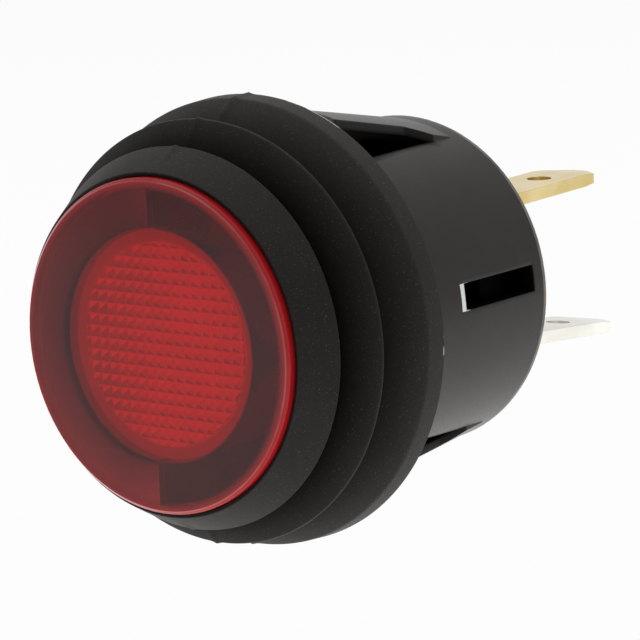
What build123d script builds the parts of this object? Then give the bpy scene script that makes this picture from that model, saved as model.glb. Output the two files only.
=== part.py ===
"""Round snap-in pushbutton switch with a lit red cap and a sealing boot.

All sizes are in millimetres. The axis of the switch is Y: the cap faces -Y, the
terminals point along +Y, and the plane y = 0 is where the bezel seats on the panel.
Z is up, X is to the right as seen from the front.
"""
import os

from build123d import *

# Barrel and bezel
barrel_r = 10.0             # a 20.2 mm panel hole
barrel_length = 14.67
barrel_wall = 1.52
barrel_chamfer = 0.2
barrel_relief = 0.03        # behind the land that centres the barrel in the hole
land_length = 1.3
bezel_rim = 2.3
bezel_thickness = 0.8
collar_step = 0.1
collar_length = 2.5
seat_wall = 1.2             # wall round the base
barrel_bore_r = barrel_r - barrel_wall
bezel_r = barrel_r + bezel_rim
collar_r = barrel_r - collar_step
seat_bore_r = barrel_r - seat_wall

# Base, set into the back of the barrel
base_recess = 0.87
base_thickness = 4.4
base_clear = 0.03
base_back = barrel_length - base_recess
base_front = base_back - base_thickness

# Latches, turned a little round from the terminals
latch_turn = 6.0
latch_half = 4.5
latch_side_gap = 0.7
latch_flare = 1.1           # width of the lead-in along the window, at the bezel
latch_flare_drop = 0.44
latch_rises = (1.6, 0.8)    # upper and lower finger; the lower one rests further in
latch_wall = 0.45
latch_front_y = 2.1         # clear of a panel 2 mm thick
latch_peak_y = 3.4
latch_root_y = barrel_length - 1.47
latch_widens_y = latch_root_y - 3.4
window_back_y = barrel_length - 3.17
window_half = latch_half + latch_side_gap

# Side slots, where the base snaps in
slot_height = 1.55
slot_ramp = 0.57
slot_ramp_depth = 0.3
slot_y = (base_front - 2.78, base_back - 0.55)
nose_length = 0.95
nose_rise = 0.25

# Button
travel = 2.5
float_travel = 0.8
guide_clear = 0.08
guide_wall = 1.2
cap_front_y = -9.16
cap_back_y = -6.6
cap_face = 0.5
cap_wall = 0.55
cap_edge = 0.2
cap_overhang = 0.85
ring_width = 2.85
rib_depth = 1.35
guide_r = barrel_bore_r - guide_clear
cap_r = guide_r + cap_overhang
cap_inner_r = cap_r - cap_wall
window_r = cap_r - ring_width

# Boot
boot_clear = 0.03
boot_flange_rim = 0.5
lip_rim, lip_y = 1.45, -6.50
ring_rim, ring_y = 2.85, -4.40
lip_crevice, ring_crevice = 0.65, 0.90

# Lens
lens_recess = 0.51          # from the carrier's front to the foot of the pyramids
lens_thickness = 0.85
lens_clear = 0.04
pyramid_pitch = 0.67
pyramid_height = 0.28
pyramid_margin = 0.8
carrier_front_y = cap_front_y + cap_face
lens_y = carrier_front_y + lens_recess

# Contacts, set out from the base forwards
contact_inset = 3.28
contact_z = 2.6
foot_thickness = 0.8
foot_half = 1.2
foot_start_x = 1.2
foot_gap = 1.5
rivet_head = 0.4
rivet_r, rivet_shank_r = 1.0, 0.5
tip_r, tip_shank_r, tip_thickness = 0.9, 0.45, 0.45
contact_gap = 0.05          # left at the end of the stroke
bridge_thickness = 0.5
bridge_half_length = 3.7
post_r, post_head, post_clear = 1.0, 0.3, 0.08
contact_x = barrel_bore_r - contact_inset
foot_front = base_front - foot_thickness
rivet_front = foot_front - rivet_head
bridge_back = rivet_front - contact_gap - travel - tip_thickness
bridge_front = bridge_back - bridge_thickness

# Guide, shoulder and stop lugs of the carrier, set out from the bridge
guide_back = bridge_front - float_travel - 1.7
shoulder_front, shoulder_back = guide_back - 3.2, guide_back - 2.2
lug_front, lug_back = guide_back - 1.3, guide_back - 0.3
lug_rise = 0.6
lug_half = 1.4
lug_clear = 0.08
stop_clear = 0.03

# Terminals
tab_width = 4.0
tab_thickness = 0.8
tab_corner = 1.5
tab_bevel = 0.22
tab_bevel_length = 2.6
tab_hole_r = 0.8
tab_root = base_back + 0.4
common_z, common_end, common_splay, common_hole = 3.5, 34.2, 1.3, 29.3
load_z, load_end, load_splay, load_hole = -4.45, 36.0, 4.8, 31.2
lamp_tab_x, lamp_tab_z, lamp_tab_width, lamp_tab_thickness = -5.5, 2.45, 2.8, 0.5
lamp_tab_end, lamp_tab_hole, lamp_tab_hole_r = 28.0, 25.0, 0.6
lamp_tab_corner, lamp_tab_bevel = 0.8, 0.12
lamp_tab_front = base_front - 0.5

# Lamp, its holder, leads and resistor
lamp_r = 1.5
lamp_flange_r = 1.9
lamp_flange_thickness = 1.0
lamp_length = 4.8
lamp_clear = 0.3
holder_r = 2.4
holder_length = 7.9
holder_depth = 1.2
holder_clear = 0.02
lead_r = 0.25
lead_clear = 0.1
lead_z = 0.64
resistor_x = -4.6
resistor_length = 3.2
resistor_r = 0.8
holder_back = base_front + holder_depth
lamp_back = holder_back - holder_length
lamp_front = lamp_back - lamp_length
lead_back = base_front + 1.8
resistor_back = base_front - 0.6
resistor_front = resistor_back - resistor_length

# Springs
spring_r, spring_wire_r, spring_turns = 2.9, 0.225, 4
contact_spring_r, contact_spring_wire_r, contact_spring_turns = 1.4, 0.15, 4

past = 1.0                  # how far a cutter runs past what it cuts


def turned(points):
    """Solid of revolution about Y from (radius, y) points."""
    return revolve(make_face(Polyline(*points, close=True)), Axis.Y, 360)


def rod(r, y0, y1, x=0.0, z=0.0):
    """Round rod along Y."""
    return Pos(x, (y0 + y1) / 2, z) * Rot(X=90) * Cylinder(r, abs(y1 - y0))


def block(x, y, z):
    """Box between the two limits given on each axis."""
    size = [abs(v[1] - v[0]) for v in (x, y, z)]
    centre = [(v[0] + v[1]) / 2 for v in (x, y, z)]
    return Pos(*centre) * Box(*size)


def wire(r, *points):
    """Round wire along a path, mitred where it turns."""
    path = Polyline(*points)
    return sweep(Plane(origin=path @ 0, z_dir=path % 0) * Circle(r), path=path,
                 transition=Transition.RIGHT)


def coil(mean_r, wire_r, y0, y1, turns, x=0.0, z=0.0):
    """Compression spring along Y between two seats, its round wire drawn with four flats."""
    height = abs(y1 - y0) - 2 * wire_r
    path = Helix(pitch=height / turns, height=height, radius=mean_r,
                 center=(x, y0 + wire_r, z), direction=(0, 1, 0))
    section = Plane(origin=path @ 0, z_dir=path % 0) * RegularPolygon(wire_r, 4)
    return sweep(section, path=path, is_frenet=True)


def about_axis(shape, angle):
    """Shape turned about Y, towards +Z from +X when the angle is positive."""
    return Rot(Y=-angle) * shape


def make_boot():
    """Rubber sleeve in three stacked cones, each overhanging the crevice behind it."""
    inner = cap_r + boot_clear
    lip, ring, flange = cap_r + lip_rim, cap_r + ring_rim, bezel_r + boot_flange_rim
    collar, pocket = collar_r + boot_clear, bezel_r + boot_clear
    front, back = cap_front_y + cap_face, -bezel_thickness - boot_clear
    return turned([
        (inner, front + 0.10), (inner + 0.22, front), (lip - 0.04, lip_y - 0.10), (lip - 0.08, lip_y + 0.10),
        (lip - lip_crevice, lip_y + 0.30), (ring - 0.16, ring_y - 0.16), (ring - 0.06, ring_y + 0.26),
        (ring - ring_crevice, ring_y + 0.70), (flange - 0.14, back - 0.64), (flange, 0.0),
        (pocket, 0.0), (pocket, back), (collar, back), (collar, -collar_length - 0.15),
        (ring - 1.05, ring_y - 0.12), (inner, lip_y + 0.35),
    ])


def latch_finger(rise):
    """One thin sprung finger on the +Z side, rising from the back of the barrel."""
    peak_r = barrel_r + rise
    slope = rise / (latch_root_y - latch_peak_y)
    overlap_y = window_back_y + 0.6
    back_r = barrel_r + slope * (latch_root_y - overlap_y)
    shell = turned([
        (barrel_r - 0.6, latch_root_y), (barrel_r, latch_root_y), (peak_r, latch_peak_y),
        (peak_r - 0.55, latch_front_y), (peak_r - 0.55 - latch_wall, latch_front_y),
        (peak_r - latch_wall - 0.05, latch_peak_y), (back_r - latch_wall, overlap_y),
        (barrel_r - 0.6, overlap_y),
    ])
    half, root_half = latch_half, window_half + 0.05
    plan = make_face(Polyline(
        (-half, 0), (half, 0), (half, latch_widens_y), (root_half, window_back_y),
        (root_half, barrel_length), (-root_half, barrel_length), (-root_half, window_back_y),
        (-half, latch_widens_y), close=True))
    return shell & extrude(plan, peak_r + past)


def latch_cut():
    """Window on the +Z side, its two long edges flared towards the bezel."""
    reach = barrel_r + max(latch_rises)
    cut = block((-window_half, window_half), (land_length, window_back_y), (barrel_bore_r - past, reach))

    def flare(y, width, drop, side):
        inner, outer = window_half - 0.1, window_half + width
        low, high = (barrel_r**2 - inner**2) ** 0.5 - drop, (barrel_r**2 - outer**2) ** 0.5
        corners = [(inner, low), (outer, high), (outer, reach), (inner, reach)]
        return Pos(0, y, 0) * Rot(X=90) * make_face(
            Polyline(*[(side * x, z) for x, z in corners], close=True))

    for side in (1, -1):
        cut += loft([flare(land_length, latch_flare, latch_flare_drop, side),
                     flare(window_back_y - 0.05, 0.3, 0.08, side)])
    return cut


def slot_cut():
    """Slot on the +X side with a ramp at its front end."""
    reach = barrel_r + past
    face = make_face(Polyline(
        (barrel_r + 0.02, slot_y[0] - slot_ramp), (barrel_r - slot_ramp_depth, slot_y[0]),
        (barrel_bore_r - past / 2, slot_y[0]), (barrel_bore_r - past / 2, slot_y[1]),
        (reach, slot_y[1]), (reach, slot_y[0] - slot_ramp), close=True))
    return extrude(Pos(0, 0, -slot_height / 2) * face, slot_height)


def make_housing():
    """Barrel with bezel, collar, two latch fingers, base slots and button grooves."""
    back_r = barrel_r - barrel_relief
    body = turned([
        (barrel_bore_r, -collar_length), (collar_r, -collar_length), (collar_r, -bezel_thickness),
        (bezel_r, -bezel_thickness), (bezel_r, 0), (barrel_r, 0), (barrel_r, land_length),
        (back_r, land_length), (back_r, barrel_length - barrel_chamfer),
        (back_r - barrel_chamfer, barrel_length), (seat_bore_r, barrel_length),
        (seat_bore_r, base_front), (barrel_bore_r, base_front),
    ])
    groove = block((barrel_bore_r - past, guide_r + lug_rise + lug_clear),
                   (lug_front - stop_clear, lug_back + travel + stop_clear),
                   (-lug_half - lug_clear, lug_half + lug_clear))
    for half_turn in (0, 180):
        body -= about_axis(latch_cut(), latch_turn + half_turn)
        body -= about_axis(slot_cut(), latch_turn + half_turn)
        body -= about_axis(groove, half_turn)
    for half_turn, rise in zip((0, 180), latch_rises):
        body += about_axis(latch_finger(rise), latch_turn + half_turn)
    return body


def make_carrier():
    """Black frame that carries the cap, the lens and the contact post, and slides in the barrel."""
    front, fit_r = carrier_front_y, cap_inner_r - lens_clear
    flange_r = cap_r - 0.05
    passage_r = lamp_flange_r + lamp_clear
    body = turned([
        (window_r, front), (fit_r, front), (fit_r, cap_back_y), (flange_r, cap_back_y),
        (flange_r, cap_back_y + 0.4), (guide_r, cap_back_y + 0.4), (guide_r, guide_back),
        (guide_r - guide_wall, guide_back), (guide_r - guide_wall, shoulder_back),
        (passage_r, shoulder_back), (passage_r, shoulder_front), (window_r, shoulder_front),
    ])
    for side in (1, -1):
        body += block((side * (guide_r - 0.4), side * (guide_r + lug_rise)), (lug_front, lug_back),
                      (-lug_half, lug_half))
        body -= block((-0.5, 0.0), (front - past, front + rib_depth + 0.05),
                      (side * (window_r - 0.4), side * (cap_r - past / 2)))
    body += rod(post_r, shoulder_back, bridge_back + 0.05, contact_x)
    return body + rod(post_r + post_head, bridge_back + 0.05, bridge_back + 0.55, contact_x)


def make_lens_cap():
    """Clear red cap: a flat face, a short wall and a rib at 12 and at 6 o'clock."""
    body = turned([
        (0, cap_front_y), (cap_r - cap_edge, cap_front_y), (cap_r, cap_front_y + cap_edge),
        (cap_r, cap_back_y), (cap_inner_r, cap_back_y), (cap_inner_r, carrier_front_y),
        (0, carrier_front_y),
    ])
    for side in (1, -1):
        body += block((-0.46, -0.04), (carrier_front_y - cap_face / 2, carrier_front_y + rib_depth),
                      (side * (window_r + 0.1), side * (cap_inner_r + 0.1)))
    return body


def make_diffuser():
    """Red lens behind the cap, its front cut into rows of small square pyramids."""
    body = rod(window_r - lens_clear, lens_y, lens_y + lens_thickness)
    field_r = window_r - pyramid_margin
    top = lens_y - pyramid_height
    field = rod(field_r, top, lens_y)
    count = int(field_r / pyramid_pitch) + 1
    for i in range(-count, count + 1):
        at = i * pyramid_pitch
        vee = make_face(Polyline((at, lens_y), (at + pyramid_pitch / 2, top),
                                 (at - pyramid_pitch / 2, top), close=True))
        field -= extrude(vee, window_r, both=True)
        field -= Rot(Y=90) * extrude(vee, window_r, both=True)
    return body + field


def make_reflector():
    """White cone that throws the lamp's light forward on to the lens."""
    seat = lens_y + lens_thickness
    throat_r = lamp_flange_r + 2 * lamp_clear
    return turned([
        (window_r - 1.0, seat), (window_r - lens_clear, seat), (throat_r + 0.8, shoulder_front),
        (throat_r, shoulder_front),
    ])


def make_base():
    """Rear block: closes the barrel, holds the terminals and seats the lamp and spring."""
    body = rod(seat_bore_r - base_clear, base_front, base_back)
    nose_back = slot_y[1] - 0.05
    nose = block((barrel_bore_r - past / 2, seat_bore_r + nose_rise), (nose_back - nose_length, nose_back),
                 (-slot_height / 2 + 0.12, slot_height / 2 - 0.12))
    for half_turn in (0, 180):
        body += about_axis(nose, latch_turn + half_turn)
    through = (base_front - past, base_back + past)
    half, t = tab_width / 2, tab_thickness / 2
    for z in (common_z, load_z):
        body -= block((-half, half), through, (z - t, z + t))
    half, t = lamp_tab_width / 2, lamp_tab_thickness / 2
    body -= block((lamp_tab_x - half, lamp_tab_x + half), through, (lamp_tab_z - t, lamp_tab_z + t))
    body -= rod(holder_r + holder_clear, base_front - past, holder_back)
    # Channels for the lamp's leads
    side = lead_r + lead_clear
    channel = (base_front - past, lead_back + side)
    body -= block((-side, side), channel, (load_z + tab_thickness / 2, -lead_z + side))
    body -= block((resistor_x - side, side), channel, (lead_z - side, lead_z + side))
    return body


def blade(x, z, width, thickness, front, end, splay, hole_y, hole_r, corner, bevel):
    """Flat tab along Y, straight through the base, then splayed, with cut corners and a bevelled tip."""
    half, t = width / 2, thickness / 2
    straight = block((-half, half), (front, tab_root), (-t, t))
    outline = [(-half, tab_root - 0.01), (half, tab_root - 0.01), (half, end - corner),
               (half - corner, end), (corner - half, end), (-half, end - corner)]
    tab = extrude(make_face(Polyline(*outline, close=True)), t, both=True)
    tab -= Pos(0, hole_y, 0) * Cylinder(hole_r, thickness + past)
    for side in (1, -1):
        wedge = make_face(Polyline(
            (end - tab_bevel_length, side * t), (end + past, side * (t - bevel * 1.3)),
            (end + past, side * (t + past)), (end - tab_bevel_length, side * (t + past)), close=True))
        tab -= extrude(Plane.YZ * wedge, half + past, both=True)
    tab = tab.rotate(Axis((0, tab_root, 0), (1, 0, 0)), splay)
    return Pos(x, 0, z) * (straight + tab)


def make_contact_terminal(z, end, splay, hole_y):
    """Tab terminal with a foot across the front of the base for its fixed contact."""
    side = 1 if z > 0 else -1
    foot = (foot_front, base_front)
    body = blade(0, z, tab_width, tab_thickness, base_front, end, splay * side, hole_y,
                 tab_hole_r, tab_corner, tab_bevel)
    inner, outer = abs(z) - tab_thickness / 2, abs(z) + tab_thickness / 2
    body += block((foot_start_x, contact_x + foot_half), foot, (side * inner, side * outer))
    body += block((contact_x - foot_half, contact_x + foot_half), foot, (side * foot_gap, side * outer))
    return body - rod(rivet_shank_r, foot_front - past, base_front + past, contact_x, side * contact_z)


def make_fixed_contact(side):
    """Rivet through the terminal's foot."""
    z = side * contact_z
    head = rod(rivet_r, rivet_front, foot_front, contact_x, z)
    return head + rod(rivet_shank_r, foot_front, base_front, contact_x, z)


def make_bridge():
    """Copper strip that joins the two fixed contacts when the button is down."""
    through = (bridge_front - past, bridge_back + past)
    body = block((contact_x - foot_half, contact_x + foot_half), (bridge_front, bridge_back),
                 (-bridge_half_length, bridge_half_length))
    body -= rod(post_r + post_clear, *through, contact_x)
    for side in (1, -1):
        body -= rod(tip_shank_r, *through, contact_x, side * contact_z)
    return body


def make_moving_contact(side):
    """Silver tip riveted through the bridge."""
    z = side * contact_z
    tip = rod(tip_r, bridge_back, bridge_back + tip_thickness, contact_x, z)
    return tip + rod(tip_shank_r, bridge_front, bridge_back, contact_x, z)


def make_lamp_terminal():
    """Small tab that feeds the lamp."""
    return blade(lamp_tab_x, lamp_tab_z, lamp_tab_width, lamp_tab_thickness, lamp_tab_front,
                 lamp_tab_end, 0.0, lamp_tab_hole, lamp_tab_hole_r, lamp_tab_corner, lamp_tab_bevel)


def make_lamp():
    """Lamp body with a domed front and a flange."""
    collar = lamp_back - lamp_flange_thickness
    return turned([
        (0, lamp_front), (lamp_r * 0.55, lamp_front + 0.25), (lamp_r, lamp_front + lamp_r), (lamp_r, collar),
        (lamp_flange_r, collar), (lamp_flange_r, lamp_back), (0, lamp_back),
    ])


def make_lamp_holder():
    """Post that stands in the base and carries the lamp inside the return spring."""
    body = rod(holder_r, lamp_back, holder_back)
    for side in (1, -1):
        body -= rod(lead_r + lead_clear / 2, lamp_back - past, holder_back + past, 0, side * lead_z)
    return body


def make_lead_load():
    """Lamp lead to the load terminal."""
    return wire(lead_r, (0, lamp_back, -lead_z), (0, lead_back, -lead_z),
                (0, lead_back, load_z + tab_thickness / 2))


def make_lead_lamp():
    """Lamp lead that runs behind the spring seat to the resistor."""
    return wire(lead_r, (0, lamp_back, lead_z), (0, lead_back, lead_z),
                (resistor_x, lead_back, lead_z), (resistor_x, resistor_back, lead_z))


def make_resistor():
    """Resistor with its front lead turned back to the lamp terminal."""
    body = rod(resistor_r, resistor_front, resistor_back, resistor_x, lead_z)
    low = lamp_tab_z - lamp_tab_thickness / 2 - lead_r
    loop_y = resistor_front - 0.55
    return body + wire(lead_r, (resistor_x, resistor_front, lead_z), (resistor_x, loop_y, lead_z),
                       (resistor_x, loop_y, low), (resistor_x, base_front - 0.1, low))


nodes = {
    "boot": make_boot(),
    "housing": make_housing(),
    "base": make_base(),
    "terminal_common": make_contact_terminal(common_z, common_end, common_splay, common_hole),
    "terminal_load": make_contact_terminal(load_z, load_end, load_splay, load_hole),
    "terminal_lamp": make_lamp_terminal(),
    "fixed_contact_a": make_fixed_contact(1),
    "fixed_contact_b": make_fixed_contact(-1),
    "lamp_holder": make_lamp_holder(),
    "lamp": make_lamp(),
    "lamp_lead_a": make_lead_load(),
    "lamp_lead_b": make_lead_lamp(),
    "resistor": make_resistor(),
    "return_spring": coil(spring_r, spring_wire_r, shoulder_back, base_front, spring_turns),
    "lens_cap": make_lens_cap(),
    "carrier": make_carrier(),
    "diffuser": make_diffuser(),
    "reflector": make_reflector(),
    "contact_bridge": make_bridge(),
    "moving_contact_a": make_moving_contact(1),
    "moving_contact_b": make_moving_contact(-1),
    "contact_spring": coil(contact_spring_r, contact_spring_wire_r, shoulder_back, bridge_front,
                           contact_spring_turns, x=contact_x),
}

os.makedirs("parts", exist_ok=True)
for name, shape in nodes.items():
    export_step(shape, f"parts/{name}.step")
    box = shape.bounding_box()
    print(name, len(shape.solids()), round(shape.volume, 2),
          [round(v, 2) for v in (*box.min, *box.max)])
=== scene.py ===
import math

import bpy
import numpy as np
from mathutils import Matrix, Vector


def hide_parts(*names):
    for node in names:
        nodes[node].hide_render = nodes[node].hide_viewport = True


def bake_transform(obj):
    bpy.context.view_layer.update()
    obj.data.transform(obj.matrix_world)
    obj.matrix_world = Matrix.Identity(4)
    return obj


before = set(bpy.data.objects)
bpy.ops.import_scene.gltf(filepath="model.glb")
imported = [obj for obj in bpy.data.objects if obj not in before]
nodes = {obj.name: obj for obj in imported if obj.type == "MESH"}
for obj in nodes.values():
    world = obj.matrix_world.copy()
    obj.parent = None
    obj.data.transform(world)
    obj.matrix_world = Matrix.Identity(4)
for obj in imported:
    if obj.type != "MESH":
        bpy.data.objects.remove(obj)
scene = bpy.context.scene
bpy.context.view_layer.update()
milli = 0.001  # the dictionaries below hold millimetres, the scene metres
print("frame loaded:", len(nodes), "nodes")


# Camera: solved from the circles of the cap, boot and barrel
camera = dict(azimuth=37.618, elevation=10.588, roll=-2.078, distance=160.0, focalPixels=2832.0,
              aim=(2.771, 2.100, -0.150), frameSize=640, sensor=36.0, clip=(0.005, 20.0))


# The camera stands at its distance from the aim, at that azimuth and elevation, and is rolled about its
# line of sight
def placeCamera(view):
    azimuth, elevation, roll = (math.radians(view[angle]) for angle in ("azimuth", "elevation", "roll"))
    level = math.cos(elevation)
    back = Vector((math.sin(azimuth) * level, -math.cos(azimuth) * level, math.sin(elevation)))
    flat = Vector((math.cos(azimuth), math.sin(azimuth), 0.0))
    high = back.cross(flat)
    right = flat * math.cos(roll) + high * math.sin(roll)
    up = high * math.cos(roll) - flat * math.sin(roll)
    data = bpy.data.cameras.new("camera")
    data.sensor_width = view["sensor"]
    data.lens = view["focalPixels"] * view["sensor"] / view["frameSize"]
    data.clip_start, data.clip_end = view["clip"]
    obj = bpy.data.objects.new("camera", data)
    place = (Vector(view["aim"]) + back * view["distance"]) * milli
    turn = Matrix((right, up, back)).transposed().to_4x4()
    obj.matrix_world = Matrix.Translation(place) @ turn
    scene.collection.objects.link(obj)
    scene.camera = obj


placeCamera(camera)
print("camera placed")


# Linear colour from an sRGB hex code: a straight part near black, a power of 2.4 above it
def linear(code):
    parts = np.array([int(code[i:i + 2], 16) / 255 for i in (1, 3, 5)])
    parts = np.where(parts <= 0.04045, parts / 12.92, ((parts + 0.055) / 1.055) ** 2.4)
    return (*parts.tolist(), 1.0)


# Millimetres to metres, for a pair of lengths
def metres(pair):
    return [length * milli for length in pair]


# Adds a node. Its inputs, in the node's own order or by name, are values, or sockets to link; settings are
# its own properties; take says which output comes back, or None for the node itself
def addNode(tree, kind, inputs=(), take=0, **settings):
    node = tree.nodes.new("ShaderNode" + kind)
    for key, value in settings.items():
        setattr(node, key, value)
    for key, value in inputs.items() if isinstance(inputs, dict) else enumerate(inputs):
        if isinstance(value, bpy.types.NodeSocket):
            tree.links.new(value, node.inputs[key])
        else:
            node.inputs[key].default_value = value
    return node if take is None else node.outputs[take]


def newMaterial(name):
    material = bpy.data.materials.new(name)
    material.use_nodes = True
    tree = material.node_tree
    tree.nodes.clear()
    return material, tree, addNode(tree, "OutputMaterial", take=None)


# How much of the pattern's range is stretched to the full, for slow drifts, for grain and for patches
patternRange = dict(slow=(0.35, 0.65), fine=(0.3, 0.7), patchy=(0.42, 0.62))


# Cloudy pattern that repeats about every size millimetres, from 0 to 1 round 0.5
def mottling(tree, place, size, detail=3.0, stretch=(1, 1, 1)):
    spread = addNode(tree, "Mapping", {"Vector": place, "Scale": stretch})
    return addNode(tree, "TexNoise", {"Vector": spread, "Scale": 1 / (size * milli), "Detail": detail,
                                      "Roughness": 0.6})


# 1 where value lies between two lengths in millimetres, else 0
def between(tree, value, pair):
    low, high = metres(pair)
    return addNode(tree, "Math", (value, (low + high) / 2, (high - low) / 2), operation="COMPARE")


# 1 where every one of the masks is 1: their product
def allOf(tree, first, *others):
    for mask in others:
        first = addNode(tree, "Math", (first, mask), operation="MULTIPLY")
    return first


# Distance from the switch's axis: the root of x squared plus z squared
def axisDistance(tree, x, z):
    square = addNode(tree, "Math", (z, z), operation="MULTIPLY")
    square = addNode(tree, "Math", (x, x, square), operation="MULTIPLY_ADD")
    return addNode(tree, "Math", (square,), operation="SQRT")


# Flecks of dust: the peaks of a fine pattern, which show a little more in some places than in others
def dust(tree, place, look):
    fleck = addNode(tree, "MapRange", (mottling(tree, place, look["fleck"], detail=2.0),
                                       *look["fleckFrom"], 0, 1))
    patch = addNode(tree, "MapRange", (mottling(tree, place, look["patch"], detail=2.0),
                                       *patternRange["patchy"], *look["fleckLevel"]))
    return addNode(tree, "Math", (fleck, patch), operation="MULTIPLY")


# Moulded black plastic or rubber: near black with slow mottling, a fine grain that spreads the shine, soft
# edges and dust. shade(tree, place) darkens colour and shine from 1 down to 0
def grainedPlastic(name, look, shade=None):
    material, tree, output = newMaterial(name)
    place = addNode(tree, "TexCoord", take="Object")
    slow = addNode(tree, "MapRange", (mottling(tree, place, look["mottle"], detail=4.0),
                                      *patternRange["slow"], 0, 1))
    fine = mottling(tree, place, look["grain"], detail=6.0)
    colour = addNode(tree, "Mix", {"Factor": slow, "A": linear(look["dark"]), "B": linear(look["light"])},
                     "Result", data_type="RGBA")
    colour = addNode(tree, "Mix", {"Factor": dust(tree, place, look), "A": colour,
                                   "B": linear(look["fleckColour"])}, "Result", data_type="RGBA")
    rough = addNode(tree, "MapRange", (fine, *patternRange["fine"], *look["rough"]))
    soft = addNode(tree, "Bevel", {"Radius": look["edge"] * milli}, samples=4)
    bump = addNode(tree, "Bump", {"Strength": look["bump"], "Distance": look["relief"] * milli,
                                  "Height": fine, "Normal": soft})
    shine = look["shine"]
    if shade:
        lit = shade(tree, place)
        colour = addNode(tree, "Mix", {"Factor": lit, "A": (0, 0, 0, 1), "B": colour}, "Result",
                         data_type="RGBA")
        shine = addNode(tree, "Math", (lit, shine), operation="MULTIPLY")
    shader = addNode(tree, "BsdfPrincipled", {
        "Base Color": colour, "Roughness": rough, "Normal": bump, "IOR": look["ior"],
        "Specular IOR Level": shine, "Specular Tint": linear(look["sheen"])})
    tree.links.new(shader, output.inputs[0])
    return material


# Rolled and stamped sheet metal or drawn wire: bright, with a faint grain lengthwise and a slight drift of
# colour
def stampedMetal(name, look):
    material, tree, output = newMaterial(name)
    place = addNode(tree, "TexCoord", take="Object")
    streak = mottling(tree, place, look["streak"], stretch=look["rolled"])
    drift = addNode(tree, "MapRange", (mottling(tree, place, look["drift"], detail=2.0),
                                       *patternRange["slow"], 0, 1))
    colour = addNode(tree, "Mix", {"Factor": drift, "A": linear(look["dark"]), "B": linear(look["light"])},
                     "Result", data_type="RGBA")
    rough = addNode(tree, "MapRange", (streak, *patternRange["fine"], *look["rough"]))
    soft = addNode(tree, "Bevel", {"Radius": look["edge"] * milli}, samples=4)
    bump = addNode(tree, "Bump", {"Strength": look["bump"], "Distance": look["relief"] * milli,
                                  "Height": streak, "Normal": soft})
    shader = addNode(tree, "BsdfPrincipled", {"Base Color": colour, "Roughness": rough, "Normal": bump,
                                              "Metallic": 1.0})
    tree.links.new(shader, output.inputs[0])
    return material


# A second shader laid over a material where mask(tree, place) rises to 1; here it lays painted highlights, a
# painted glow and pale patches
def overlay(material, mask, colour, glow=0.0, rough=0.5):
    tree = material.node_tree
    place = addNode(tree, "TexCoord", take="Object")
    overShader = addNode(tree, "BsdfPrincipled", {"Base Color": linear(colour), "Roughness": rough,
                                              "Emission Color": linear(colour), "Emission Strength": glow})
    output = next(node for node in tree.nodes if node.type == "OUTPUT_MATERIAL")
    plain = output.inputs[0].links[0].from_socket
    both = addNode(tree, "MixShader", (mask(tree, place), plain, overShader))
    tree.links.new(both, output.inputs[0])
    return material


# One material on a CAD node
def paint(name, material):
    slots = nodes[name].material_slots
    for slot in slots:
        slot.link = "OBJECT"
        slot.material = material
    if not slots:
        nodes[name].data.materials.append(material)


# Side slots and latch windows, in millimetres: where painted shade makes the barrel black inside a slot or
# beside a finger, and where a painted highlight lies on the ramp at the front of each slot, as the light it
# catches
slotPlace = dict(turn=6.0, half=0.785, ramp=(5.88, 6.64), hollow=(6.64, 13.3), inside=5.0,
                 fingerSide=(4.485, 5.12), windowLength=(0.5, 11.5), widens=9.8, widening=0.412,
                 paintedShadeLevel=0.26, fingerShare=0.55)


# Distance sideways, along and up in the frame of the slots, which stand turned about the axis
def slotFrame(tree, place):
    turn = math.radians(slotPlace["turn"])
    turned = addNode(tree, "Mapping", {"Vector": place, "Rotation": (0, turn, 0)})
    x, y, z = addNode(tree, "SeparateXYZ", (turned,), None).outputs
    return addNode(tree, "Math", (x,), operation="ABSOLUTE"), y, z


# Painted shade: dark inside the slots, half dark between finger and window, whose gap widens near the
# finger's root
def slotShade(tree, place):
    x, y, z = slotFrame(tree, place)
    half, inside = slotPlace["half"], slotPlace["inside"] * milli
    slot = allOf(tree, between(tree, z, (-half, half)), between(tree, y, slotPlace["hollow"]),
                 addNode(tree, "Math", (x, inside), operation="GREATER_THAN"))
    past = addNode(tree, "Math", (y, slotPlace["widens"] * milli), operation="SUBTRACT")
    past = addNode(tree, "Math", (past, 0.0), operation="MAXIMUM")
    side = addNode(tree, "Math", (past, -slotPlace["widening"], x), operation="MULTIPLY_ADD")
    height = addNode(tree, "Math", (z,), operation="ABSOLUTE")
    gap = allOf(tree, between(tree, side, slotPlace["fingerSide"]),
                between(tree, y, slotPlace["windowLength"]),
                addNode(tree, "Math", (height, inside), operation="GREATER_THAN"), slotPlace["fingerShare"])
    dark = addNode(tree, "Math", (slot, gap), operation="MAXIMUM")
    return addNode(tree, "MapRange", (dark, 0, 1, 1, slotPlace["paintedShadeLevel"]))


# 1 on the slots' ramps, which carry a pale, slightly glowing painted highlight
def slotRampHighlight(tree, place):
    x, y, z = slotFrame(tree, place)
    half = slotPlace["half"]
    return allOf(tree, between(tree, z, (-half, half)), between(tree, y, slotPlace["ramp"]),
                 addNode(tree, "Math", (x, slotPlace["inside"] * milli), operation="GREATER_THAN"))


# Painted highlight: a pale line round the barrel's rear edge, a little broken
def rearEdgeHighlight(tree, place):
    y = addNode(tree, "SeparateXYZ", (place,), 1)
    breaks = addNode(tree, "MapRange", (mottling(tree, place, barrelHighlights["breakSize"], detail=2.0),
                                      *barrelHighlights["breakFrom"], *barrelHighlights["breakTo"]))
    return allOf(tree, between(tree, y, barrelHighlights["band"]), breaks, barrelHighlights["edgeHighlightLevel"])


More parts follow.
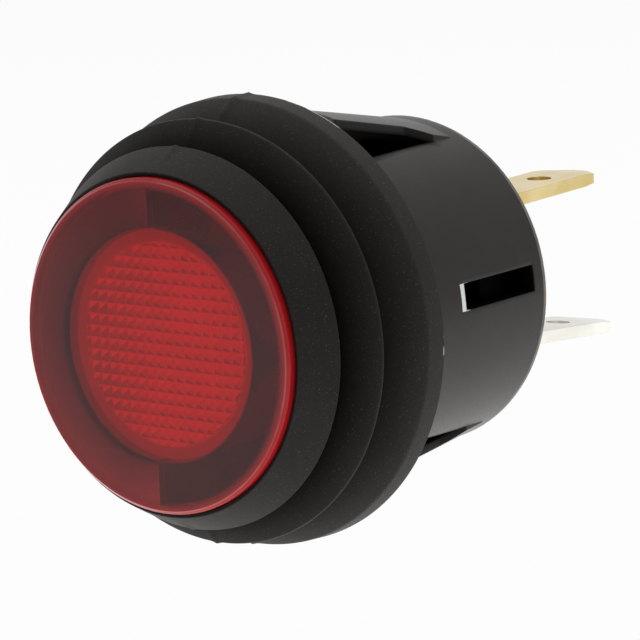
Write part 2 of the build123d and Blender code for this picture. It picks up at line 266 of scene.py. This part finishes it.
# Barrel: moulded nylon, which looks satin, with soft edges and slight mottling. Real mould grain and dust are
# finer: both are drawn as coarse as they need to show
nylonLook = dict(dark="#161412", light="#1d1b19", sheen="#fff3ec", mottle=2.6, grain=0.12, rough=(0.34, 0.42),
                 bump=0.25, relief=0.010, edge=0.30, ior=1.53, shine=0.17, fleck=0.09, fleckFrom=(0.70, 0.75),
                 fleckLevel=(0.15, 0.10), patch=2.0, fleckColour="#8d8a88")
# Painted highlights on the barrel: a pale glowing one on the slots' ramps and a broken pale line round the
# rear edge
barrelHighlights = dict(rampHighlightColour="#c9cdca", rampHighlightGlow=0.20, band=(14.22, 14.60), breakSize=2.5,
                   breakFrom=(0.35, 0.6), breakTo=(0.4, 1.0), edgeHighlightColour="#958c84", edgeHighlightLevel=0.55)
nylon = grainedPlastic("moulded nylon", nylonLook, slotShade)
# Painted highlight on the slots' ramps
overlay(nylon, slotRampHighlight, barrelHighlights["rampHighlightColour"], barrelHighlights["rampHighlightGlow"])
# Painted highlight round the barrel's rear edge
paint("housing", overlay(nylon, rearEdgeHighlight, barrelHighlights["edgeHighlightColour"]))

# Base: its back shows as the barrel does; its sides, seen only through the slots, are painted black as shade
baseShadeFade = dict(along=(13.3, 13.6), level=(0.04, 1.0))


def baseShade(tree, place):
    y = addNode(tree, "SeparateXYZ", (place,), 1)
    return addNode(tree, "MapRange", (y, *metres(baseShadeFade["along"]), *baseShadeFade["level"]))


paint("base", grainedPlastic("moulded nylon, base", nylonLook, baseShade))

# Lamp holder and carrier: black nylon, painted darker and duller than the barrel as shade, as it is only seen
# through slots and cap
shadedInnerLook = dict(nylonLook, dark="#070707", light="#0b0a0a", rough=(0.45, 0.55), bump=0.1, shine=0.04)
paint("lamp_holder", grainedPlastic("black nylon in painted shade", shadedInnerLook))

# Painted light: the front of the carrier's bore, round the lens, is painted the lens's red and glows
boreGlowLook = dict(radius=6.48, end=-4.0, colour="#7c1016", glow=0.3)


# 1 on the front of the bore, where the painted red glow lies
def bore(tree, place):
    x, y, z = addNode(tree, "SeparateXYZ", (place,), None).outputs
    return allOf(tree, addNode(tree, "Math", (axisDistance(tree, x, z), boreGlowLook["radius"] * milli),
                               operation="LESS_THAN"),
                 addNode(tree, "Math", (y, boreGlowLook["end"] * milli), operation="LESS_THAN"))


paint("carrier", overlay(grainedPlastic("black nylon in painted shade, carrier", shadedInnerLook), bore, boreGlowLook["colour"],
                         boreGlowLook["glow"]))

# Tabs: pale brass and silver plate, bright, with faint lines along the tab from rolling. Real ones are finer:
# they are drawn as coarse as they need to show
brassLook = dict(dark="#c9b376", light="#d6c38d", streak=0.5, rolled=(1.0, 0.08, 1.0), drift=3.0,
                 rough=(0.26, 0.32), bump=0.05, relief=0.01, edge=0.06)
silverLook = dict(brassLook, dark="#d5d2ca", light="#e0ded7", rough=(0.28, 0.36))
steelLook = dict(brassLook, dark="#8b8b8d", light="#a4a4a6", rough=(0.25, 0.4))
copperLook = dict(brassLook, dark="#b06a45", light="#c27d56")
silver, steel = stampedMetal("silver plate", silverLook), stampedMetal("spring steel", steelLook)
paint("terminal_common", stampedMetal("rolled brass", brassLook))
paint("contact_bridge", stampedMetal("copper strip", copperLook))
for part in ("terminal_load", "terminal_lamp", "fixed_contact_a", "fixed_contact_b", "moving_contact_a",
             "moving_contact_b", "lamp_lead_a", "lamp_lead_b"):
    paint(part, silver)


# Moulded plastic that pipes light, drawn with painted light: each facet is painted brighter the more it faces
# upwards, towards a fixed light, and glows. Painted shade dims facets that face right on the left, which
# gives dots there and streaks on the right, painted light lifts the right side, and painted shade darkens the
# flat margin
def facetShadedLens(name, look):
    material, tree, output = newMaterial(name)
    coords = addNode(tree, "TexCoord", take=None).outputs
    place, normal = coords["Object"], coords["Normal"]
    x, y, z = addNode(tree, "SeparateXYZ", (place,), None).outputs
    facing = addNode(tree, "VectorMath", (normal, look["towards"]), "Value", operation="DOT_PRODUCT")
    level = addNode(tree, "MapRange", (facing, *look["lit"], 0, 1))
    cloud = addNode(tree, "Math", (mottling(tree, place, look["cloud"]), 0.5), operation="SUBTRACT")
    level = addNode(tree, "Math", (cloud, look["clouding"], level), operation="MULTIPLY_ADD")
    across = addNode(tree, "Math", (addNode(tree, "SeparateXYZ", (normal,)), 0.0), operation="MAXIMUM")
    dim = addNode(tree, "MapRange", (x, *metres(look["dots"]), look["leftFacetShade"], 0))
    dimmed = addNode(tree, "Math", (across, dim), operation="MULTIPLY")
    level = addNode(tree, "Math", (dimmed, -1.0, level), operation="MULTIPLY_ADD")
    rightwardLight = addNode(tree, "MapRange", (x, *metres(look["rightwardLightAlong"]), *look["rightwardLight"]))
    level = addNode(tree, "Math", (level, rightwardLight), operation="ADD")
    margin = addNode(tree, "MapRange", (axisDistance(tree, x, z), *metres(look["field"]),
                                        1.0, look["margin"]))
    level = addNode(tree, "Math", (level, margin), operation="MULTIPLY")
    colour = addNode(tree, "Mix", {"Factor": level, "A": linear(look["dark"]), "B": linear(look["light"])},
                     "Result", data_type="RGBA")
    shader = addNode(tree, "BsdfPrincipled", {
        "Base Color": colour, "Emission Color": colour, "Roughness": look["rough"], "IOR": look["ior"],
        "Emission Strength": look["glow"]})
    tree.links.new(shader, output.inputs[0])
    return material


# Lens: red polycarbonate, with a painted glow as if lit from within and painted facet light and shade. The
# white plastic of the reflector, the red epoxy of the lamp and the lacquer of the resistor hardly show behind
# it
lensLook = dict(dark="#7c0a10", light="#ff2e1c", cloud=1.5, clouding=0.5, rough=0.3, ior=1.49, glow=0.60,
                towards=(0.1, -0.6, 0.79), lit=(0.0, 0.9), field=(5.55, 5.75), margin=0.35,
                leftFacetShade=0.8, dots=(-5, 1), rightwardLight=(0.14, 0.16), rightwardLightAlong=(-5, 5))
paint("diffuser", facetShadedLens("red lens polycarbonate", lensLook))
paint("reflector", facetShadedLens("white reflector", dict(lensLook, dark="#d6d5d0", light="#f2f1ec", glow=0.0)))
paint("lamp", facetShadedLens("red lamp epoxy", dict(lensLook, dark="#a01a18", light="#b02420", glow=0.05)))
paint("resistor", facetShadedLens("resistor lacquer", dict(lensLook, dark="#9a8158", light="#a89068", glow=0.0)))


# Clear cap: tints what is behind it, with a red haze that thickens towards the wall and, over the dark ring,
# a painted reflection as more red haze on the left half, most of all low down, further out and beside the
# ribs at 12 and 6 o'clock
def clearPlastic(name, look):
    material, tree, output = newMaterial(name)
    place = addNode(tree, "TexCoord", take="Object")
    x, y, z = addNode(tree, "SeparateXYZ", (place,), None).outputs
    out = axisDistance(tree, x, z)
    fine = mottling(tree, place, look["grain"], detail=4.0)
    wall = addNode(tree, "MapRange", (out, *metres(look["wall"]), 0, look["wallHaze"]))
    overRing = addNode(tree, "MapRange", (out, *metres(look["window"]), 0, 1))
    # Painted reflection: more haze on the left half
    left = addNode(tree, "MapRange", (z, *metres(look["height"]), *look["leftReflectionHaze"]))
    rib = addNode(tree, "MapRange", (x, *metres(look["rib"]), 0, look["ribHaze"]))
    left = addNode(tree, "Math", (left, rib), operation="ADD")
    left = allOf(tree, left, addNode(tree, "Math", (x, 0.0), operation="LESS_THAN"),
                 addNode(tree, "MapRange", (out, *metres(look["spread"]), *look["outward"])))
    haze = addNode(tree, "MapRange", (mottling(tree, place, look["cloud"]), *patternRange["fine"],
                                      *look["haze"]))
    haze = addNode(tree, "Math", (overRing, left, haze), operation="MULTIPLY_ADD")
    haze = addNode(tree, "Math", (haze, wall), operation="MAXIMUM")
    # Painted highlight: a thin pale line round the front edge of the cap, broken here and there
    breaks = addNode(tree, "MapRange", (mottling(tree, place, look["cloud"], detail=2.0),
                                      *look["glintFrom"], *look["glintLevel"]))
    line = allOf(tree, between(tree, out, look["line"]),
                 addNode(tree, "Math", (y, look["glintBack"] * milli), operation="LESS_THAN"), breaks)
    milk = addNode(tree, "Mix", {"Factor": wall, "A": linear(look["milk"]), "B": linear(look["wallColour"])},
                   "Result", data_type="RGBA")
    body = addNode(tree, "MixShader", (haze, addNode(tree, "BsdfTransparent", (linear(look["tint"]),)),
                                       addNode(tree, "BsdfDiffuse", (milk,))))
    glint = addNode(tree, "BsdfDiffuse", (linear(look["glintColour"]),))
    body = addNode(tree, "MixShader", (line, body, glint))
    bump = addNode(tree, "Bump", {"Strength": look["bump"], "Distance": look["relief"] * milli,
                                  "Height": fine})
    gloss = addNode(tree, "BsdfAnisotropic", {"Roughness": look["rough"], "Color": (1, 1, 1, 1),
                                              "Normal": bump})
    edge = addNode(tree, "Fresnel", {"IOR": look["ior"], "Normal": bump})
    tree.links.new(addNode(tree, "MixShader", (edge, body, gloss)), output.inputs[0])
    return material


capLook = dict(tint="#d8403a", milk="#c43438", haze=(0.05, 0.10), cloud=4.0, grain=0.3, bump=0.15,
               relief=0.004, rough=0.12, ior=1.30, wall=(8.5, 9.22), wallHaze=0.80, wallColour="#b8141c",
               window=(6.35, 6.60), height=(-8, 8), leftReflectionHaze=(0.24, 0.09), rib=(-2, 0), ribHaze=0.05,
               spread=(6.7, 8.3), outward=(0.55, 1.15), line=(9.03, 9.10), glintBack=-9.08,
               glintFrom=(0.42, 0.56), glintLevel=(0.1, 0.22), glintColour="#d89a8c")
paint("lens_cap", clearPlastic("tinted polycarbonate", capLook))
print("CAD nodes painted")


# Mesh of a grid of points (u, v, xyz): each cell is one quad, wrapped where asked
def gridMesh(name, points, closeU, closeV):
    nu, nv = points.shape[:2]
    u = np.arange(nu if closeU else nu - 1)
    v = np.arange(nv if closeV else nv - 1)
    uu, vv = np.meshgrid(u, v, indexing="ij")
    corners = [(uu, vv), ((uu + 1) % nu, vv), ((uu + 1) % nu, (vv + 1) % nv), (uu, (vv + 1) % nv)]
    faces = np.stack([a * nv + b for a, b in corners], axis=-1).reshape(-1, 4)
    mesh = bpy.data.meshes.new(name)
    mesh.from_pydata(points.reshape(-1, 3), [], faces)
    mesh.shade_smooth()
    mesh.update()
    obj = bpy.data.objects.new(name, mesh)
    scene.collection.objects.link(obj)
    return obj


# UV map from one pair per vertex
def addMap(obj, name, values):
    mesh = obj.data
    order = np.empty(len(mesh.loops), dtype=np.int32)
    mesh.loops.foreach_get("vertex_index", order)
    layer = mesh.uv_layers.new(name=name)
    layer.data.foreach_set("uv", values.reshape(-1, 2)[order].astype(np.float32).ravel())


# Closed outline through (r, y, radius) corners, each corner replaced by an arc of that radius: the arc leaves
# one side and meets the next at a distance of the radius over the tangent of half the corner's angle
def roundedOutline(corners, steps):
    at = np.array([c[:2] for c in corners], float)
    radius = np.array([c[2] for c in corners], float)[:, None]
    before, after = np.roll(at, 1, 0) - at, np.roll(at, -1, 0) - at
    before /= np.linalg.norm(before, axis=1, keepdims=True)
    after /= np.linalg.norm(after, axis=1, keepdims=True)
    half = 0.5 * np.arccos(np.clip((before * after).sum(1, keepdims=True), -1, 1))
    middle = before + after
    middle /= np.linalg.norm(middle, axis=1, keepdims=True)
    centre = at + middle * radius / np.sin(half)
    first = -(centre - at - before * radius / np.tan(half))
    last = -(centre - at - after * radius / np.tan(half))
    t = np.linspace(0, 1, steps)[None, :, None]
    spread = (1 - t) * first[:, None] + t * last[:, None]
    spread /= np.maximum(np.linalg.norm(spread, axis=2, keepdims=True), 1e-9)
    return (centre[:, None] + spread * radius[:, None]).reshape(-1, 2)


# Points added along each run of an outline, so that long runs bend smoothly
def filled(outline, parts):
    following = np.roll(outline, -1, 0)
    t = np.arange(parts)[None, :, None] / parts
    return (outline[:, None] * (1 - t) + following[:, None] * t).reshape(-1, 2)


# Outline of (r, y) spun about Y: x is r cos t and z is r sin t, with swell(t, r, y) added to r
def spun(name, outline, turns, swell):
    t = np.linspace(0, 2 * np.pi, turns, endpoint=False)[:, None]
    r, y = outline[None, :, 0], outline[None, :, 1]
    r = r + swell(t, r, y)
    points = np.stack([r * np.cos(t), y + 0 * t, r * np.sin(t)], axis=-1) * milli
    return gridMesh(name, points, closeU=True, closeV=True)


# Boot, in millimetres: three stacked cones of moulded rubber, each edge hanging over a dark crevice. A corner
# is r, y and its rounding; exposed gives the share of light at two radii of the second cone and of the third
bootShape = dict(
    corners=[
        (9.28, -8.58, 0.03), (9.50, -8.67, 0.06), (10.70, -6.47, 0.12), (9.75, -6.12, 0.06),
        (12.10, -4.40, 0.22), (10.85, -3.70, 0.08), (12.70, -1.38, 0.50), (12.80, -0.02, 0.04),
        (12.33, -0.02, 0.02), (12.33, -0.83, 0.02), (9.93, -0.83, 0.02), (9.93, -2.65, 0.1),
        (10.10, -3.35, 0.2), (10.95, -4.52, 0.3), (9.33, -5.9, 0.1), (9.28, -6.3, 0.1),
    ],
    steps=7, parts=2, turns=320, nub=0.10, nubWidth=0.018, outside=(10.55, 0.22, -6.5, 0.05),
    wave=0.02, lobes=3, waveStart=0.6, waveAlong=(-1.0, 4.0),
    exposed=((10.2, 0.10), (12.05, 0.85), (11.1, 0.25), (12.75, 1.15)),
    lipShare=0.9, lipEnd=-6.3, ringEnd=-4.2,
)


# Share of light that reaches each point of the outline: it rises with r across the second and the third cone,
# from the crevice to the edge, and is constant on the first
def exposure(outline):
    (ringFrom, low), (ringTo, high), (footFrom, footLow), (footTo, footHigh) = bootShape["exposed"]
    r, y = outline.T
    ring = np.interp(r, (ringFrom, ringTo), (low, high))
    foot = np.interp(r, (footFrom, footTo), (footLow, footHigh))
    behind = np.where(y < bootShape["ringEnd"], ring, foot)
    return np.where(y < bootShape["lipEnd"], bootShape["lipShare"], behind)


# Small nubs left by the mould at 12 and 6 o'clock on the outer edges, as a bell curve round each, faded in by
# a soft step on r that lies further out towards the rear; and a slow wave of three lobes that dies out there
def bootSwell(t, r, y):
    start, slope, front, softness = bootShape["outside"]
    outer = 1 / (1 + np.exp(-(r - start - slope * (y - front)) / softness))
    away = np.abs(np.sin(t - np.pi / 2))
    nub = bootShape["nub"] * np.exp(-(away / bootShape["nubWidth"]) ** 2)
    rear, length = bootShape["waveAlong"]
    fade = np.clip((rear - y) / length, 0, 1)
    return outer * nub + bootShape["wave"] * np.sin(bootShape["lobes"] * t + bootShape["waveStart"]) * fade


# The share of light, read from the boot's own UV map
def bootShade(tree, place):
    return addNode(tree, "SeparateXYZ", (addNode(tree, "UVMap", uv_map="exposure"),))


# Broken pale beige patches on the boot's rear rim
def paleRimPatches(tree, place):
    x, y, z = addNode(tree, "SeparateXYZ", (place,), None).outputs
    patch = addNode(tree, "MapRange", (mottling(tree, place, bootLook["rimPatch"], detail=4.0),
                                       *bootLook["rimShare"], 0, 1))
    return allOf(tree, addNode(tree, "Math", (y, bootLook["rimFrom"] * milli), operation="GREATER_THAN"),
                 addNode(tree, "Math", (axisDistance(tree, x, z), bootLook["rimInside"] * milli),
                         operation="GREATER_THAN"), patch)


# Rubber: looks duller than the nylon, with a rougher grain and more dust, which too are drawn coarser than
# they are
bootLook = dict(dark="#141211", light="#1a1817", sheen="#fff7f2", mottle=3.2, grain=0.07, rough=(0.55, 0.68),
                bump=0.6, relief=0.02, edge=0.03, ior=1.5, shine=0.20, fleck=0.11, fleckFrom=(0.64, 0.69),
                fleckLevel=(0.15, 0.16), patch=2.4, fleckColour="#8a8887", rimFrom=-0.12, rimInside=12.7,
                rimPatch=4.5, rimShare=(0.57, 0.59), rimColour="#b5a994")
outline = filled(roundedOutline(bootShape["corners"], bootShape["steps"]), bootShape["parts"])
boot = spun("bootSkin", outline, bootShape["turns"], bootSwell)
share = np.broadcast_to(exposure(outline), (bootShape["turns"], len(outline)))
addMap(boot, "exposure", np.stack([share, 0 * share], axis=-1))
rubber = grainedPlastic("EPDM rubber", bootLook, bootShade)
boot.data.materials.append(overlay(rubber, paleRimPatches, bootLook["rimColour"]))
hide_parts("boot")
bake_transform(boot)
print("boot built")


# Round wire wound about Y: the centre line turns at meanR and rises evenly, but only by half the wire's
# thickness over the first and the last flat turns, so both ends close; the section is a circle across it
def springWire(name, spring):
    meanR, wireR, turns, flat = (spring[key] for key in ("meanR", "wireR", "turns", "flat"))
    wound = np.linspace(0, turns, turns * spring["stepsPerTurn"] + 1)
    rise = np.clip((wound - flat) / (turns - 2 * flat), 0, 1)
    ends = np.clip(wound, 0, flat) + np.clip(wound - (turns - flat), 0, flat)
    pitched = spring["rear"] - spring["front"] - 4 * wireR
    y = spring["front"] + wireR + wireR * ends / flat + rise * pitched
    angle = 2 * np.pi * wound
    middle = np.stack([spring["x"] + meanR * np.cos(angle), y, meanR * np.sin(angle)], axis=-1)
    out = np.stack([np.cos(angle), 0 * angle, np.sin(angle)], axis=-1)
    along = np.gradient(middle, axis=0)
    along /= np.linalg.norm(along, axis=1, keepdims=True)
    side = np.cross(along, out)
    t = np.linspace(0, 2 * np.pi, spring["sides"], endpoint=False)[None, :, None]
    points = middle[:, None] + wireR * (np.cos(t) * out[:, None] + np.sin(t) * side[:, None])
    obj = gridMesh(name, points * milli, closeU=False, closeV=True)
    obj.data.materials.append(steel)
    return obj


# Springs, wound once as they stand; in the switch they close up as the button goes down
returnSpring = dict(meanR=2.9, wireR=0.225, front=0.0, rear=9.4, turns=6, x=0.0, flat=0.75, stepsPerTurn=48,
                    sides=14)
contactSpring = dict(returnSpring, meanR=1.4, wireR=0.15, rear=4.7, x=5.2)
returnCoil = springWire("returnCoil", returnSpring)
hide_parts("return_spring")
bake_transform(returnCoil)
contactCoil = springWire("contactCoil", contactSpring)
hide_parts("contact_spring")
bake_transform(contactCoil)
print("springs wound")


# Light: a wide soft box above, a small one below, a room that is dimmer in front, and a white backdrop
lightRig = dict(front=0.18, back=0.9, turn=(-0.55, 0.82, 0.15), fade=(-0.5, 0.5), skyWhite=0.98,
                floorLevel=-30.0, floorTone="#fafafa", floorSize=3000.0, floorCells=8, floorWhite=0.9,
                boxes=[dict(name="above", at=(0, 60, 420), aim=(0, 10, 0), size=(640, 560), watts=0.8),
                       dict(name="below", at=(0, 0, -29), aim=(0, 0, 0), size=(360, 360), watts=0.22)])


def placeBox(spec):
    data = bpy.data.lights.new(spec["name"], "AREA")
    data.shape = "RECTANGLE"
    data.size, data.size_y = metres(spec["size"])
    data.energy = spec["watts"]
    obj = bpy.data.objects.new(spec["name"], data)
    obj.visible_camera = False
    at, aim = Vector(spec["at"]), Vector(spec["aim"])
    turn = (at - aim).to_track_quat("Z", "Y").to_matrix().to_4x4()
    obj.matrix_world = Matrix.Translation(at * milli) @ turn
    scene.collection.objects.link(obj)


# 1 for rays from the camera, from gloss and through clear parts: these see the white backdrop
def sharpRay(tree):
    path = addNode(tree, "LightPath", take=None).outputs
    sharp = addNode(tree, "Math", (path["Is Glossy Ray"], path["Is Transmission Ray"]), operation="MAXIMUM")
    return addNode(tree, "Math", (path["Is Camera Ray"], sharp), operation="MAXIMUM")


for spec in lightRig["boxes"]:
    placeBox(spec)

# Room: dim in front, bright behind, by the direction that a ray goes in
world = bpy.data.worlds.new("studio")
world.use_nodes = True
tree = world.node_tree
tree.nodes.clear()
facing = addNode(tree, "VectorMath", (addNode(tree, "TexCoord", take="Generated"), lightRig["turn"]), "Value",
                 operation="DOT_PRODUCT")
level = addNode(tree, "MapRange", (facing, *lightRig["fade"], lightRig["front"], lightRig["back"]))
room = addNode(tree, "Background", ((1, 1, 1, 1), level))
white = addNode(tree, "Background", ((1, 1, 1, 1), lightRig["skyWhite"]))
output = addNode(tree, "OutputWorld", take=None)
tree.links.new(addNode(tree, "MixShader", (sharpRay(tree), room, white)), output.inputs[0])
scene.world = world

# Floor: pale card, nearly white to the camera, which still shows a soft shadow
reach = np.linspace(-lightRig["floorSize"], lightRig["floorSize"], lightRig["floorCells"] + 1)
gx, gy = np.meshgrid(reach, reach, indexing="ij")
corners = np.stack([gx, gy, 0 * gx + lightRig["floorLevel"]], axis=-1) * milli
floor = gridMesh("floor", corners, closeU=False, closeV=False)
card, tree, output = newMaterial("white card")
matte = addNode(tree, "BsdfDiffuse", (linear(lightRig["floorTone"]),))
blank = addNode(tree, "Emission", ((1, 1, 1, 1), 1.0))
lit = addNode(tree, "Math", (sharpRay(tree), lightRig["floorWhite"]), operation="MULTIPLY")
tree.links.new(addNode(tree, "MixShader", (lit, matte, blank)), output.inputs[0])
floor.data.materials.append(card)
scene.view_settings.view_transform = "Standard"
print("light and floor set")
